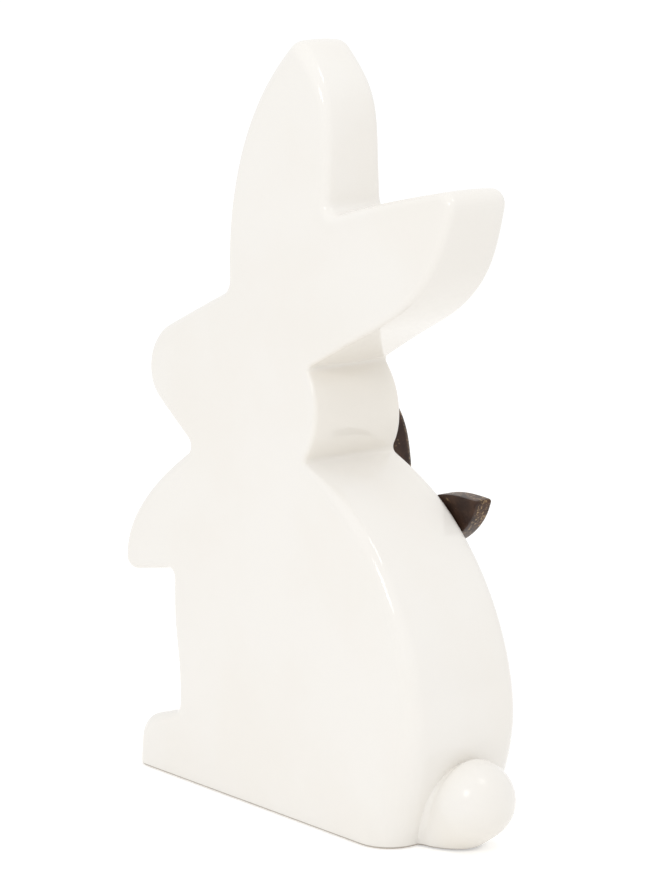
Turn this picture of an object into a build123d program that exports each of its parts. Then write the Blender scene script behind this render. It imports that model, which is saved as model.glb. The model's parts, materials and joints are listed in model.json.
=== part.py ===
from build123d import *
import math
import os

# Glazed ceramic rabbit, cut as a thick slab with a tapered section, with a
# ribbon bow bonded to the neck on its display face.
# Millimetres. +X runs to the nose, +Z is up, the display face looks to -Y.
# The silhouette is drawn forward of the rump; place_on_table then puts the
# origin on the table, under the middle of the finished piece.

# Silhouette
silhouette_length = 182.0
body_height = 141.0
head_height = 161.2
nose_radius = 18.0
ear_tip_radius = 7.0
rear_ear_tip_radius = 6.0
ear_fork_radius = 3.0
brow_radius = 5.0
nape_radius = 2.5
shoulder_radius = 3.0
chin_radius = 2.5
paw_radius = 6.0
paw_crease_radius = 3.0
foot_crease_radius = 3.0
toe_radius = 12.0

# Slab section, full thickness at even steps from the table to the ear tip
base_thickness = 60.0
belly_thickness = 53.0
neck_thickness = 45.0
ear_root_thickness = 31.0
ear_tip_thickness = 26.4
rim_radius = 4.8
foot_edge_radius = 1.5

# Cast wall, and the hole that drained and vented the mould
cast_wall = 5.0
vent_diameter = 8.0

# Tail, an egg with its small end down against the rump
tail_radius = 15.8
tail_overhang = 3.5
tail_height = 19.2
tail_root_radius = 12.5
tail_root_inset = 11.0
tail_root_height = 5.0

# Bow, placed by the middle of its knot, behind the paw and below the shoulder
knot_behind_paw = 74.3
knot_below_shoulder = 4.0
knot_width = 17.0
knot_length = 25.0
knot_depth = 15.0
knot_corner_radius = 5.0
knot_edge_radius = 3.5
loop_span = 36.8
loop_drop = 46.0
loop_depth = 12.0
loop_edge_radius = 3.5
ribbon_span = 82.4
ribbon_drop = 38.0
ribbon_depth = 9.5
ribbon_edge_radius = 0.9
front_ribbon_swing = 38.0
pleat_width = 3.0
pleat_depth = 1.4
bond_thickness = 0.5
bond_inset = 2.0

# How far a cutter or a blank runs past what it cuts
overrun = 20.0

# Outline points as shares of silhouette_length and body_height, above the table
heel_share = (0.073, 0.0)
rump_shares = ((0.024, 0.149), (0.0, 0.326), (0.029, 0.546), (0.103, 0.727), (0.229, 0.894))
shoulder_share = (0.375, 1.0)
chin_share = (0.768, 0.965)
chest_shares = ((0.883, 0.858), (0.957, 0.762), (0.998, 0.657))
paw_share = (1.0, 0.557)
paw_crease_share = (0.820, 0.600)
leg_shares = ((0.816, 0.454), (0.798, 0.333))
foot_crease_share = (0.788, 0.202)
toe_share = (0.927, 0.143)
toe_base_share = (0.931, 0.0)
vent_share = (0.500, 0.0)

# Outline points as shares of silhouette_length and head_height, above the body
neck_share = (0.338, 0.100)
nape_share = (0.379, 0.224)
rear_ear_under_shares = ((0.246, 0.302), (0.108, 0.389), (0.024, 0.490), (-0.013, 0.586))
rear_ear_tip_share = (-0.038, 0.683)
rear_ear_top_share = (0.154, 0.640)
ear_fork_share = (0.362, 0.580)
ear_back_shares = ((0.362, 0.726), (0.379, 0.862), (0.419, 0.934))
ear_tip_share = (0.474, 1.0)
ear_front_share = (0.655, 0.718)
brow_share = (0.676, 0.372)
nose_share = (1.047, 0.177)

# Bow outlines from the middle of the knot, outward and up, as shares of the
# loop's span and drop and of the ribbon end's span and drop
loop_shares = (
    (0.09, 0.16), (0.44, 0.33), (0.74, 0.485), (0.91, 0.345), (1.0, 0.0),
    (0.94, -0.33), (0.76, -0.47), (0.46, -0.30), (0.09, -0.16),
)
loop_pleat_shares = (((0.20, 0.07), (0.70, 0.24)), ((0.20, 0.0), (0.62, -0.02)), ((0.20, -0.07), (0.70, -0.25)))
ribbon_root_share = (0.060, -0.184)
ribbon_top_shares = ((0.243, -0.500), (0.437, -0.615), (0.663, -0.376), (0.839, -0.276))
ribbon_tip_share = (1.0, -0.284)
ribbon_end_shares = ((0.976, -0.432), (0.896, -0.674), (0.676, -0.908), (0.413, -0.934), (0.182, -0.671))
ribbon_heel_share = (0.030, -0.237)
ribbon_pleat_shares = (((0.17, -0.49), (0.41, -0.74)), ((0.56, -0.70), (0.86, -0.47)))
knot_pleat_shares = (((-0.22, 0.46), (-0.14, -0.20)), ((0.20, -0.46), (0.12, 0.22)))


def on_body(share):
    """A point of the silhouette between the table and the shoulder."""
    return Vector(share[0] * silhouette_length, 0, share[1] * body_height)


def on_head(share):
    """A point of the silhouette above the shoulder."""
    return Vector(share[0] * silhouette_length, 0, body_height + share[1] * head_height)


def rounded(face, corner, radius):
    """The face with its vertex nearest to corner rounded."""
    nearest = min(face.vertices(), key=lambda vertex: (Vector(*vertex) - corner).length)
    return face.fillet_2d(radius, [nearest])


def silhouette():
    """The rabbit seen square on, as one face in the XZ plane."""
    heel, shoulder = on_body(heel_share), on_body(shoulder_share)
    chin, paw, paw_crease = on_body(chin_share), on_body(paw_share), on_body(paw_crease_share)
    foot_crease, toe, toe_base = on_body(foot_crease_share), on_body(toe_share), on_body(toe_base_share)
    nape, rear_tip, fork = on_head(nape_share), on_head(rear_ear_tip_share), on_head(ear_fork_share)
    tip, brow, nose = on_head(ear_tip_share), on_head(brow_share), on_head(nose_share)
    stretches = [
        Spline(heel, *map(on_body, rump_shares), shoulder),
        ThreePointArc(shoulder, on_head(neck_share), nape),
        Spline(nape, *map(on_head, rear_ear_under_shares), rear_tip),
        ThreePointArc(rear_tip, on_head(rear_ear_top_share), fork),
        Spline(fork, *map(on_head, ear_back_shares), tip),
        ThreePointArc(tip, on_head(ear_front_share), brow),
        Line(brow, nose),
        Line(nose, chin),
        Spline(chin, *map(on_body, chest_shares), paw),
        Line(paw, paw_crease),
        Spline(paw_crease, *map(on_body, leg_shares), foot_crease),
        Line(foot_crease, toe),
        Line(toe, toe_base),
        Line(toe_base, heel),
    ]
    face = Face(Wire(Curve() + stretches))
    corners = (
        (shoulder, shoulder_radius), (nape, nape_radius), (rear_tip, rear_ear_tip_radius),
        (fork, ear_fork_radius), (tip, ear_tip_radius), (brow, brow_radius), (nose, nose_radius),
        (chin, chin_radius), (paw, paw_radius), (paw_crease, paw_crease_radius),
        (foot_crease, foot_crease_radius), (toe, toe_radius),
    )
    for corner, radius in corners:
        face = rounded(face, corner, radius)
    return face


def drawn_in(face, distance):
    """The face with its outline moved inward, on plain splines."""
    return offset(face, amount=-distance).face().to_splines()


def slab(inset):
    """The tapered slab that the rabbit is cut from, drawn in by inset on both faces."""
    thicknesses = (base_thickness, belly_thickness, neck_thickness, ear_root_thickness, ear_tip_thickness)
    step = (body_height + head_height) / (len(thicknesses) - 1)
    side = [Vector(0, thickness / 2 - inset, step * i) for i, thickness in enumerate(thicknesses)]
    other = [Vector(0, -point.Y, point.Z) for point in side]
    section = Face(Wire(Curve() + [
        Spline(*side), Line(side[-1], other[-1]), Spline(*other), Line(other[0], side[0]),
    ]))
    return extrude(section, amount=silhouette_length + overrun, dir=(1, 0, 0), both=True)


def rounded_body(outline):
    """The solid outside of the rabbit, rounded all along both rims and lightly at the foot."""
    body = (extrude(outline, amount=base_thickness, both=True) & slab(0)).solid()
    rims = body.edges().filter_by(
        lambda edge: abs((edge @ 0.5).Y) > ear_tip_thickness / 4 and (edge @ 0.5).Z > foot_edge_radius / 2
    )
    body = fillet(rims, rim_radius)
    foot = body.edges().filter_by(lambda edge: edge.bounding_box().max.Z < foot_edge_radius / 2)
    return fillet(foot, foot_edge_radius).solid()


def rabbit_body(outline, outside):
    """The hollow casting, with the vent through its base."""
    cavity = extrude(drawn_in(outline, cast_wall), amount=base_thickness, both=True) & slab(cast_wall)
    vent = Cylinder(vent_diameter / 2, 2 * (cast_wall + overrun))
    return outside - cavity - Pos(on_body(vent_share)) * vent


def tail(outside):
    """The egg of the tail, cut to its seat on the rump and flat on the table."""
    middle = Vector(-tail_overhang, 0, tail_height)
    root = Vector(tail_root_inset, 0, tail_root_height)
    along = (root - middle).normalized()
    distance = (root - middle).length
    lean = math.asin((tail_radius - tail_root_radius) / distance)
    across = Vector(along.Z, 0, -along.X)

    def station(centre, radius, angle):
        return centre + along * (radius * math.sin(angle)) + across * (radius * math.cos(angle))

    crown = station(middle, tail_radius, -math.pi / 2)
    shoulder = station(middle, tail_radius, lean)
    waist = station(root, tail_root_radius, lean)
    point = station(root, tail_root_radius, math.pi / 2)
    half = Face(Wire(Curve() + [
        ThreePointArc(crown, station(middle, tail_radius, (lean - math.pi / 2) / 2), shoulder),
        Line(shoulder, waist),
        ThreePointArc(waist, station(root, tail_root_radius, (lean + math.pi / 2) / 2), point),
        Line(point, crown),
    ]))
    egg = revolve(half, Axis(middle, along), 360)
    above_table = Pos(0, 0, overrun + tail_radius) * Box(
        silhouette_length, base_thickness, 2 * (overrun + tail_radius)
    )
    return ((egg & above_table) - outside).solids().sort_by(SortBy.VOLUME)[-1]


def knot_middle():
    """Where the middle of the knot lies over the silhouette."""
    return Vector(silhouette_length - knot_behind_paw, 0, body_height - knot_below_shoulder)


def from_knot(share, span, drop, side):
    """A bow point: outward from the knot on the rear (-1) or front (+1) side, and up."""
    return knot_middle() + Vector(side * share[0] * span, 0, share[1] * drop)


def display_face(edges):
    """The face inside a closed run of edges, turned to look out of the display side."""
    face = Face(Wire(Curve() + edges))
    return face if face.normal_at().Y < 0 else -face


def layer(outline, bottom, top):
    """What outline stamps out of a layer that lies bottom to top above the display face."""
    stamped = extrude(outline, amount=base_thickness, dir=(0, -1, 0))
    return (stamped & slab(-top)) - slab(-bottom)


def bow_piece(outline, depth, edge_radius):
    """A flat-backed piece of the bow on its bond, rounded along its front edge."""
    piece = layer(outline, bond_thickness, bond_thickness + depth).solid()
    front = piece.faces().sort_by(Axis.Y)[0]
    return fillet(front.edges(), edge_radius).solid()


def pleats(lines, depth):
    """Folds in the front of a piece depth thick, each narrowing from its first point to its second."""
    cuts = []
    for start, end in lines:
        half_width = (end - start).cross(Vector(0, 1, 0)).normalized() * (pleat_width / 2)
        outline = display_face(Polyline(start - half_width, start + half_width, end, close=True).edges())
        top = bond_thickness + depth
        cuts.append(layer(outline, top - pleat_depth, top + pleat_depth))
    return cuts


def knot_outline():
    """The wrap at the middle of the bow."""
    wrap = Plane.XZ * RectangleRounded(knot_width, knot_length, knot_corner_radius)
    return (Pos(knot_middle()) * wrap).face()


def loop_outline(side):
    """One loop, from its pinch at the knot round its broad outer end."""
    points = [from_knot(share, loop_span, loop_drop, side) for share in loop_shares]
    return display_face([Spline(*points), Line(points[-1], points[0])])


def ribbon_outline(side):
    """One ribbon end, which dips under its loop and flicks up to a point."""
    def place(share):
        return from_knot(share, ribbon_span, ribbon_drop, side)

    root, tip, heel = place(ribbon_root_share), place(ribbon_tip_share), place(ribbon_heel_share)
    outline = display_face([
        Spline(root, *map(place, ribbon_top_shares), tip),
        Spline(tip, *map(place, ribbon_end_shares), heel),
        Line(heel, root),
    ])
    return swung(outline) if side > 0 else outline


def swung(shape):
    """The front ribbon hangs lower than the rear one: shape is turned down about the knot."""
    return shape.rotate(Axis(knot_middle(), (0, 1, 0)), front_ribbon_swing)


def bow_knot():
    lines = [[from_knot(share, knot_width, knot_length, 1) for share in pair] for pair in knot_pleat_shares]
    return bow_piece(knot_outline(), knot_depth, knot_edge_radius) - pleats(lines, knot_depth)


def bow_loop(side, knot):
    lines = [[from_knot(share, loop_span, loop_drop, side) for share in pair] for pair in loop_pleat_shares]
    return bow_piece(loop_outline(side), loop_depth, loop_edge_radius) - pleats(lines, loop_depth) - knot


def bow_ribbon(side, upper_pieces):
    lines = [[from_knot(share, ribbon_span, ribbon_drop, side) for share in pair] for pair in ribbon_pleat_shares]
    if side > 0:
        lines = [[swung(Vertex(point)).center() for point in pair] for pair in lines]
    ribbon = bow_piece(ribbon_outline(side), ribbon_depth, ribbon_edge_radius) - pleats(lines, ribbon_depth)
    return (ribbon - upper_pieces).solids().sort_by(SortBy.VOLUME)[-1]


def bow_bond(outline):
    """The thin bed of adhesive, kept inside the bow and clear of the rounded rim of the rabbit."""
    back = knot_outline() + [loop_outline(-1), loop_outline(1), ribbon_outline(-1), ribbon_outline(1)]
    bed = drawn_in(back, bond_inset) & drawn_in(outline, rim_radius + bond_inset)
    return layer(bed, 0, bond_thickness).solid()


def place_on_table(pieces):
    """Moves the pieces together, so that the origin is on the table under the middle of them all."""
    box = Compound(list(pieces.values())).bounding_box()
    shift = Pos(-box.center().X, -box.center().Y, -box.min.Z)
    return {name: shift * piece for name, piece in pieces.items()}


def rabbit():
    """Every piece of the figurine by name."""
    outline = silhouette()
    outside = rounded_body(outline)
    knot = bow_knot()
    rear_loop, front_loop = bow_loop(-1, knot), bow_loop(1, knot)
    rear_ribbon = bow_ribbon(-1, [knot, rear_loop, front_loop])
    return place_on_table({
        "rabbit_body": rabbit_body(outline, outside),
        "tail": tail(outside),
        "bow_knot": knot,
        "bow_loop_rear": rear_loop,
        "bow_loop_front": front_loop,
        "bow_ribbon_rear": rear_ribbon,
        "bow_ribbon_front": bow_ribbon(1, [knot, rear_loop, front_loop, rear_ribbon]),
        "bow_bond": bow_bond(outline),
    })


os.makedirs("parts", exist_ok=True)
for name, piece in rabbit().items():
    export_step(piece, f"parts/{name}.step")
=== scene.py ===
"""A glazed ceramic rabbit with a bronzed ribbon bow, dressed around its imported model.

Shapes are worked out in millimetres, with x forward from the rump, z up from the table and y out of the
back face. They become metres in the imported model's frame when a mesh is made.
"""

import json
import logging
import math
from dataclasses import dataclass
from enum import Enum
from typing import Sequence

import bmesh
import bpy
import numpy as np
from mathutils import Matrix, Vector, noise
from mathutils.geometry import delaunay_2d_cdt

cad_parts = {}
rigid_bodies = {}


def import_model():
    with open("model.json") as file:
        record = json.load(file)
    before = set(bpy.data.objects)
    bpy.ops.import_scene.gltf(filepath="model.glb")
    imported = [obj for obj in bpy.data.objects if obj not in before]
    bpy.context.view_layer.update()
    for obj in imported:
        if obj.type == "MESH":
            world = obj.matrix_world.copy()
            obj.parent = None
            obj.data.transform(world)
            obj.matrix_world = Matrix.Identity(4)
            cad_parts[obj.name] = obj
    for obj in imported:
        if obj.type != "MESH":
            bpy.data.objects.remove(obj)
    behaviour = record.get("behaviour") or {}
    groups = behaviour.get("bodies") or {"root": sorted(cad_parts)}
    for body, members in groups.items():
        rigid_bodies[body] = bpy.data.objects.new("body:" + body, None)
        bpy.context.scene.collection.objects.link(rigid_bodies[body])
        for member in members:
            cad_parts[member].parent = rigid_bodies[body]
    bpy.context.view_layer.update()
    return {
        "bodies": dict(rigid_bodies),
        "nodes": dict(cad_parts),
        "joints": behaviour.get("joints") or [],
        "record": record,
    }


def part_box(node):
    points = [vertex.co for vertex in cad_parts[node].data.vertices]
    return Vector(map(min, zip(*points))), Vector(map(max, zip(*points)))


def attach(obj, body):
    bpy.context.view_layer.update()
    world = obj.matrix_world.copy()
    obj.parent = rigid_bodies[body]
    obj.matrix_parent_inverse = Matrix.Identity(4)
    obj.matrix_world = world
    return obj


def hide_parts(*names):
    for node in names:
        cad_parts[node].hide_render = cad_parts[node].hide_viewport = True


LOG = logging.getLogger("rabbit")
MM = 0.001
# The share of a cell that stays free between the fixed points and the others inside a boundary
FREE_SHARE = 0.62
# The height of a row of even triangles, as a share of their side
ROW_SHARE = math.sqrt(0.75)
# The levels of the drifting tone's noise that become none and full
TONE_LEVELS = (0.35, 0.65)
WHITE = (1.0, 1.0, 1.0, 1.0)

Points = np.ndarray
Spot = tuple[float, float]
Spots = tuple[Spot, ...]
Faces = list[tuple[int, ...]]
Colour = tuple[float, float, float]


class Side(Enum):
    """Which way a piece of the bow reaches from the knot."""

    REAR = -1
    FRONT = 1


# Plane curves


def lengths(points: Points) -> np.ndarray:
    """Gives how far along its run each point lies."""
    return np.concatenate([[0.0], np.cumsum(np.linalg.norm(np.diff(points, axis=0), axis=1))])


def spline(points: Sequence[Spot] | Points, step: float) -> Points:
    """Draws a smooth curve through points.

    Args:
        points: The places that the curve passes, in order.
        step: The spacing of the result.

    Returns:
        Points along the curve, ends included.
    """
    given = np.array(points, float)
    knots = lengths(given)
    gaps = np.diff(knots)
    count = len(given)
    system, loads = np.eye(count), np.zeros_like(given)
    for i in range(1, count - 1):
        system[i, i - 1:i + 2] = gaps[i - 1], 2 * (gaps[i - 1] + gaps[i]), gaps[i]
        loads[i] = 6 * ((given[i + 1] - given[i]) / gaps[i] - (given[i] - given[i - 1]) / gaps[i - 1])
    bends = np.linalg.solve(system, loads)
    along = np.linspace(0.0, knots[-1], max(2, round(knots[-1] / step)) + 1)
    cell = np.clip(np.searchsorted(knots, along) - 1, 0, count - 2)
    gap = gaps[cell][:, None]
    left, right = knots[cell + 1][:, None] - along[:, None], along[:, None] - knots[cell][:, None]
    bent = (bends[cell] * left**3 + bends[cell + 1] * right**3) / (6 * gap)
    low = (given[cell] / gap - bends[cell] * gap / 6) * left
    high = (given[cell + 1] / gap - bends[cell + 1] * gap / 6) * right
    return bent + low + high


def line(start: Spot | Points, end: Spot | Points, step: float) -> Points:
    """Draws a straight run from start to end, in points about step apart."""
    count = max(2, round(math.dist(start, end) / step)) + 1
    return np.linspace(np.array(start, float), np.array(end, float), count)


def arc_about(centre: Points, start: Points, sweep: float, step: float) -> Points:
    """Draws the arc that a point makes as it turns about a centre.

    Args:
        centre: What the point turns about.
        start: Where it starts.
        sweep: How far it turns to the left, in radians.
        step: The spacing of the result.

    Returns:
        Points along the arc, ends included.
    """
    arm = start - centre
    count = max(3, round(abs(sweep) * float(np.hypot(*arm)) / step)) + 1
    turn = np.linspace(0.0, sweep, count)
    cos, sin = np.cos(turn), np.sin(turn)
    return centre + np.stack([arm[0] * cos - arm[1] * sin, arm[0] * sin + arm[1] * cos], axis=1)


def sweep_of(centre: Points, start: Points, end: Points, turn: float) -> float:
    """Gives the angle from start to end about a centre, to the left where turn is positive."""
    first, last = (math.atan2(*(point - centre)[::-1]) for point in (start, end))
    return (last - first) % math.tau if turn > 0 else -((first - last) % math.tau)


def arc(start: Spot, middle: Spot, end: Spot, step: float) -> Points:
    """Draws the arc through three points.

    Args:
        start: Where the arc starts.
        middle: A place that it passes.
        end: Where it ends.
        step: The spacing of the result.

    Returns:
        Points along the arc, ends included.
    """
    a, b, c = (np.array(point, float) for point in (start, middle, end))
    rows = np.array([b - a, c - a])
    centre = np.linalg.solve(2 * rows, [(b @ b) - (a @ a), (c @ c) - (a @ a)])
    turn = (b - a)[0] * (c - b)[1] - (b - a)[1] * (c - b)[0]
    return arc_about(centre, a, sweep_of(centre, a, c, turn), step)


def side_of(points: Points, closed: bool = False) -> Points:
    """Gives the unit normals to the left of a run.

    Args:
        points: The run.
        closed: Whether its end joins its start.

    Returns:
        A normal for each point.
    """
    if closed:
        along = np.roll(points, -1, axis=0) - np.roll(points, 1, axis=0)
    else:
        along = np.gradient(points, axis=0)
    along = along / np.maximum(np.linalg.norm(along, axis=1, keepdims=True), 1e-9)
    return np.stack([-along[:, 1], along[:, 0]], axis=1)


def round_joint(before: Points, after: Points, radius: float, step: float) -> tuple[Points, Points, Points]:
    """Rounds the corner where two runs meet.

    Args:
        before: The run that ends at the corner.
        after: The run that starts there.
        radius: The radius of the rounding.
        step: The spacing of its points.

    Returns:
        The first run shortened, the rounding, and the second run shortened.
    """
    heading, leaving = before[-1] - before[-2], after[1] - after[0]
    turn = math.copysign(1.0, heading[0] * leaving[1] - heading[1] * leaving[0])
    inner, outer = (run + turn * radius * side_of(run) for run in (before, after))
    a, b = inner[:-1, None], outer[None, :-1]
    da, db = inner[1:, None] - a, outer[None, 1:] - b
    cross = da[..., 0] * db[..., 1] - da[..., 1] * db[..., 0]
    cross = np.where(np.abs(cross) < 1e-12, 1e-12, cross)
    gap = b - a
    t = (gap[..., 0] * db[..., 1] - gap[..., 1] * db[..., 0]) / cross
    u = (gap[..., 0] * da[..., 1] - gap[..., 1] * da[..., 0]) / cross
    hits = np.argwhere((t >= 0) & (t <= 1) & (u >= 0) & (u <= 1))
    i, j = max(hits, key=lambda pair: pair[0] - pair[1])
    centre = inner[i] + t[i, j] * (inner[i + 1] - inner[i])
    start = centre - turn * radius * side_of(before)[i]
    end = centre - turn * radius * side_of(after)[j]
    rounding = arc_about(centre, start, sweep_of(centre, start, end, turn), step)
    return before[:i + 1], rounding, after[j + 1:]


def chain(runs: Sequence[Points], radii: Sequence[float], step: float) -> Points:
    """Joins runs end to end and rounds each joint between them.

    Args:
        runs: The runs in order.
        radii: A radius for each joint from one run to the next.
        step: The spacing of the result.

    Returns:
        Evenly spaced points along the whole.
    """
    pieces, current = [], runs[0]
    for after, radius in zip(runs[1:], radii):
        current, rounding, after = round_joint(current, after, radius, step)
        pieces += [current, rounding]
        current = after
    return evenly(np.concatenate(pieces + [current]), step)


def evenly(points: Points, step: float) -> Points:
    """Spaces points evenly along the run that they draw.

    Args:
        points: The run, where points may lie on each other.
        step: The spacing of the result.

    Returns:
        The new points, with both ends of the run.
    """
    moved = np.concatenate([[True], np.linalg.norm(np.diff(points, axis=0), axis=1) > 1e-6])
    points = points[moved]
    along = lengths(points)
    even = np.linspace(0.0, along[-1], round(along[-1] / step) + 1)
    return np.stack([np.interp(even, along, points[:, axis]) for axis in (0, 1)], axis=1)


def soften(values: Points, width: float) -> Points:
    """Evens out a run of values or points, with its ends left in place.

    Args:
        values: One row for each place.
        width: The spread of the evening, in rows.

    Returns:
        The run, as long as before.
    """
    reach = max(1, round(3 * width))
    weights = np.exp(-0.5 * (np.arange(-reach, reach + 1) / width) ** 2)
    weights /= weights.sum()
    rows = values.reshape(len(values), -1)
    head = 2 * rows[:1] - rows[reach:0:-1]
    tail = 2 * rows[-1:] - rows[-2:-reach - 2:-1]
    padded = np.concatenate([head, rows, tail])
    smooth = np.stack([np.convolve(column, weights, "valid") for column in padded.T], axis=1)
    return smooth.reshape(values.shape)


def nearest(points: Points, place: Spot) -> int:
    """Gives the number of the point that lies nearest to a place."""
    return int(np.argmin(np.sum((points - place) ** 2, axis=1)))


def clearance(points: Points, others: Points) -> np.ndarray:
    """Gives each point's distance to the nearest of others."""
    return np.array([math.sqrt(np.min(np.sum((others - point) ** 2, axis=1))) for point in points])


def inside(points: Points, boundary: Points) -> np.ndarray:
    """Says which points lie inside a closed boundary.

    Args:
        points: The points to test.
        boundary: The points round it, in order.

    Returns:
        True or False for each point.
    """
    x, y = points[:, 0][:, None], points[:, 1][:, None]
    a, b = boundary, np.roll(boundary, -1, axis=0)
    spans = (a[:, 1] > y) != (b[:, 1] > y)
    rise = np.where(b[:, 1] == a[:, 1], 1.0, b[:, 1] - a[:, 1])
    crossing = a[:, 0] + (y - a[:, 1]) * (b[:, 0] - a[:, 0]) / rise
    return (spans & (x < crossing)).sum(axis=1) % 2 == 1


def filled(boundary: Points, cell: float, hole: Points | None = None,
           within: Points | None = None) -> tuple[Points, Faces]:
    """Fills a closed boundary with triangles.

    Args:
        boundary: The points round it, in order.
        cell: The spacing of the points inside.
        hole: A second boundary, whose inside stays open.
        within: Points inside that the triangles shall meet.

    Returns:
        The points, which start with the boundary's, the hole's and those within, and the triangles.
    """
    rings = [boundary] if hole is None else [boundary, hole]
    edges: list[tuple[int, int]] = []
    for ring in rings:
        start = len(edges)
        edges += [(start + i, start + (i + 1) % len(ring)) for i in range(len(ring))]
    fixed = np.concatenate(rings if within is None else [*rings, within])
    low, high = boundary.min(0), boundary.max(0)
    across, up = np.meshgrid(np.arange(low[0], high[0], cell), np.arange(low[1], high[1], cell * ROW_SHARE))
    across[::2] += cell / 2
    grid = np.stack([across.ravel(), up.ravel()], axis=1)
    grid = grid[inside(grid, boundary)]
    if hole is not None:
        grid = grid[~inside(grid, hole)]
    grid = grid[clearance(grid, fixed) > FREE_SHARE * cell]
    points = np.concatenate([fixed, grid])
    out, _, faces, origins, _, _ = delaunay_2d_cdt([Vector(point) for point in points], edges, [], 1, 1e-7)
    index = [found[0] if found else -1 for found in origins]
    if min(index) < 0:
        raise ValueError("the boundary crosses itself")
    triangles = [tuple(index[i] for i in face) for face in faces]
    if hole is not None:
        middles = np.array([points[list(face)].mean(0) for face in triangles])
        triangles = [face for face, drop in zip(triangles, inside(middles, hole)) if not drop]
    return points, triangles


# Meshes


@dataclass
class Shape:
    """The points and faces of a piece while it is built up."""

    places: Points
    faces: Faces

    def put(self, places: Points) -> list[int]:
        """Adds points.

        Args:
            places: The points, as wide as those there are.

        Returns:
            Their numbers.
        """
        start = len(self.places)
        self.places = np.concatenate([self.places, places])
        return list(range(start, len(self.places)))

    def band(self, first: Sequence[int], second: Sequence[int]) -> None:
        """Joins two closed rings with a band of faces.

        Args:
            first: The numbers of one ring's points, in order.
            second: As many numbers for the other ring.
        """
        count = len(first)
        self.faces += [
            (first[i], first[(i + 1) % count], second[(i + 1) % count], second[i]) for i in range(count)
        ]

    def patch(self, triangles: Faces, numbers: Sequence[int]) -> None:
        """Adds triangles, with each of their numbers looked up."""
        self.faces += [tuple(numbers[i] for i in triangle) for triangle in triangles]


@dataclass(frozen=True)
class Waver:
    """The slight waviness of hand-finished work, in metres."""

    height: float
    wave: float
    fade: float
    seed: float

    def apply(self, piece: bpy.types.Object) -> None:
        """Moves a piece's points along their normals, less and less toward the table.

        Args:
            piece: The object to move.
        """
        shift = Vector((self.seed, 2 * self.seed, 3 * self.seed))
        moves = []
        for point in piece.data.vertices:
            amount = noise.noise(point.co / self.wave + shift)
            amount *= min(1.0, max(0.0, point.co.z / self.fade))
            moves.append(point.normal * amount * self.height)
        for point, move in zip(piece.data.vertices, moves):
            point.co += move


@dataclass
class Place:
    """Where the drawing's origin, under the rump on the middle plane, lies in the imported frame."""

    x: float
    y: float

    @classmethod
    def of_frame(cls, reach: float) -> "Place":
        """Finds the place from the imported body, whose paw is reach millimetres from the rump."""
        low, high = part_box("rabbit_body")
        return cls(high.x - reach * MM, (low.y + high.y) / 2)

    def metres(self, places: Points) -> Points:
        """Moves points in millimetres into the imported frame, in metres."""
        return places * MM + np.array([self.x, self.y, 0.0])


def upright(drawn: Points, across: np.ndarray) -> Points:
    """Gives points that are drawn in x and z their places across."""
    return np.stack([drawn[:, 0], across, drawn[:, 1]], axis=1)


def at_height(plan: Points, height: float) -> Points:
    """Lays the points of a plan at a height."""
    return np.hstack([plan, np.full((len(plan), 1), height)])


def shown(name: str, data: bpy.types.ID) -> bpy.types.Object:
    """Puts a mesh, lamp or camera in the scene.

    Args:
        name: The object's name.
        data: What it shows.

    Returns:
        The object.
    """
    thing = bpy.data.objects.new(name, data)
    bpy.context.scene.collection.objects.link(thing)
    return thing


def aim(thing: bpy.types.Object, start: Points, end: Points) -> None:
    """Stands a lamp or camera at start and turns it to end."""
    thing.location = start
    thing.rotation_euler = Vector(end - start).to_track_quat("-Z", "Y").to_euler()


def mesh_object(name: str, places: Points, faces: Faces) -> bpy.types.Object:
    """Makes a smooth object whose faces all look outward.

    Args:
        name: The object's name.
        places: Its points in metres.
        faces: Their numbers, face by face.

    Returns:
        The object, in the scene.
    """
    mesh = bpy.data.meshes.new(name)
    mesh.from_pydata(places.tolist(), [], [list(face) for face in faces])
    shaped = bmesh.new()
    shaped.from_mesh(mesh)
    bmesh.ops.recalc_face_normals(shaped, faces=shaped.faces)
    shaped.to_mesh(mesh)
    shaped.free()
    mesh.shade_smooth()
    return shown(name, mesh)


def mark(piece: bpy.types.Object, name: str, values: np.ndarray) -> None:
    """Stores one value for each point of a piece, for its finish to read."""
    layer = piece.data.attributes.new(name, "FLOAT", "POINT")
    layer.data.foreach_set("value", np.asarray(values, np.float32))


def hand_in(piece: bpy.types.Object, node: str, slot: str, *finishes: bpy.types.Material) -> None:
    """Puts a piece in place of its node, with its finishes.

    Args:
        piece: The piece.
        node: The node that it stands for.
        slot: The name of the node's material slot; not used.
        *finishes: Its materials, the main one first.
    """
    for finish in finishes:
        piece.data.materials.append(finish)
    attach(piece, "root")
    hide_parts(node)
    LOG.info("%s stands for %s with %d points", piece.name, node, len(piece.data.vertices))


# Finishes


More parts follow.
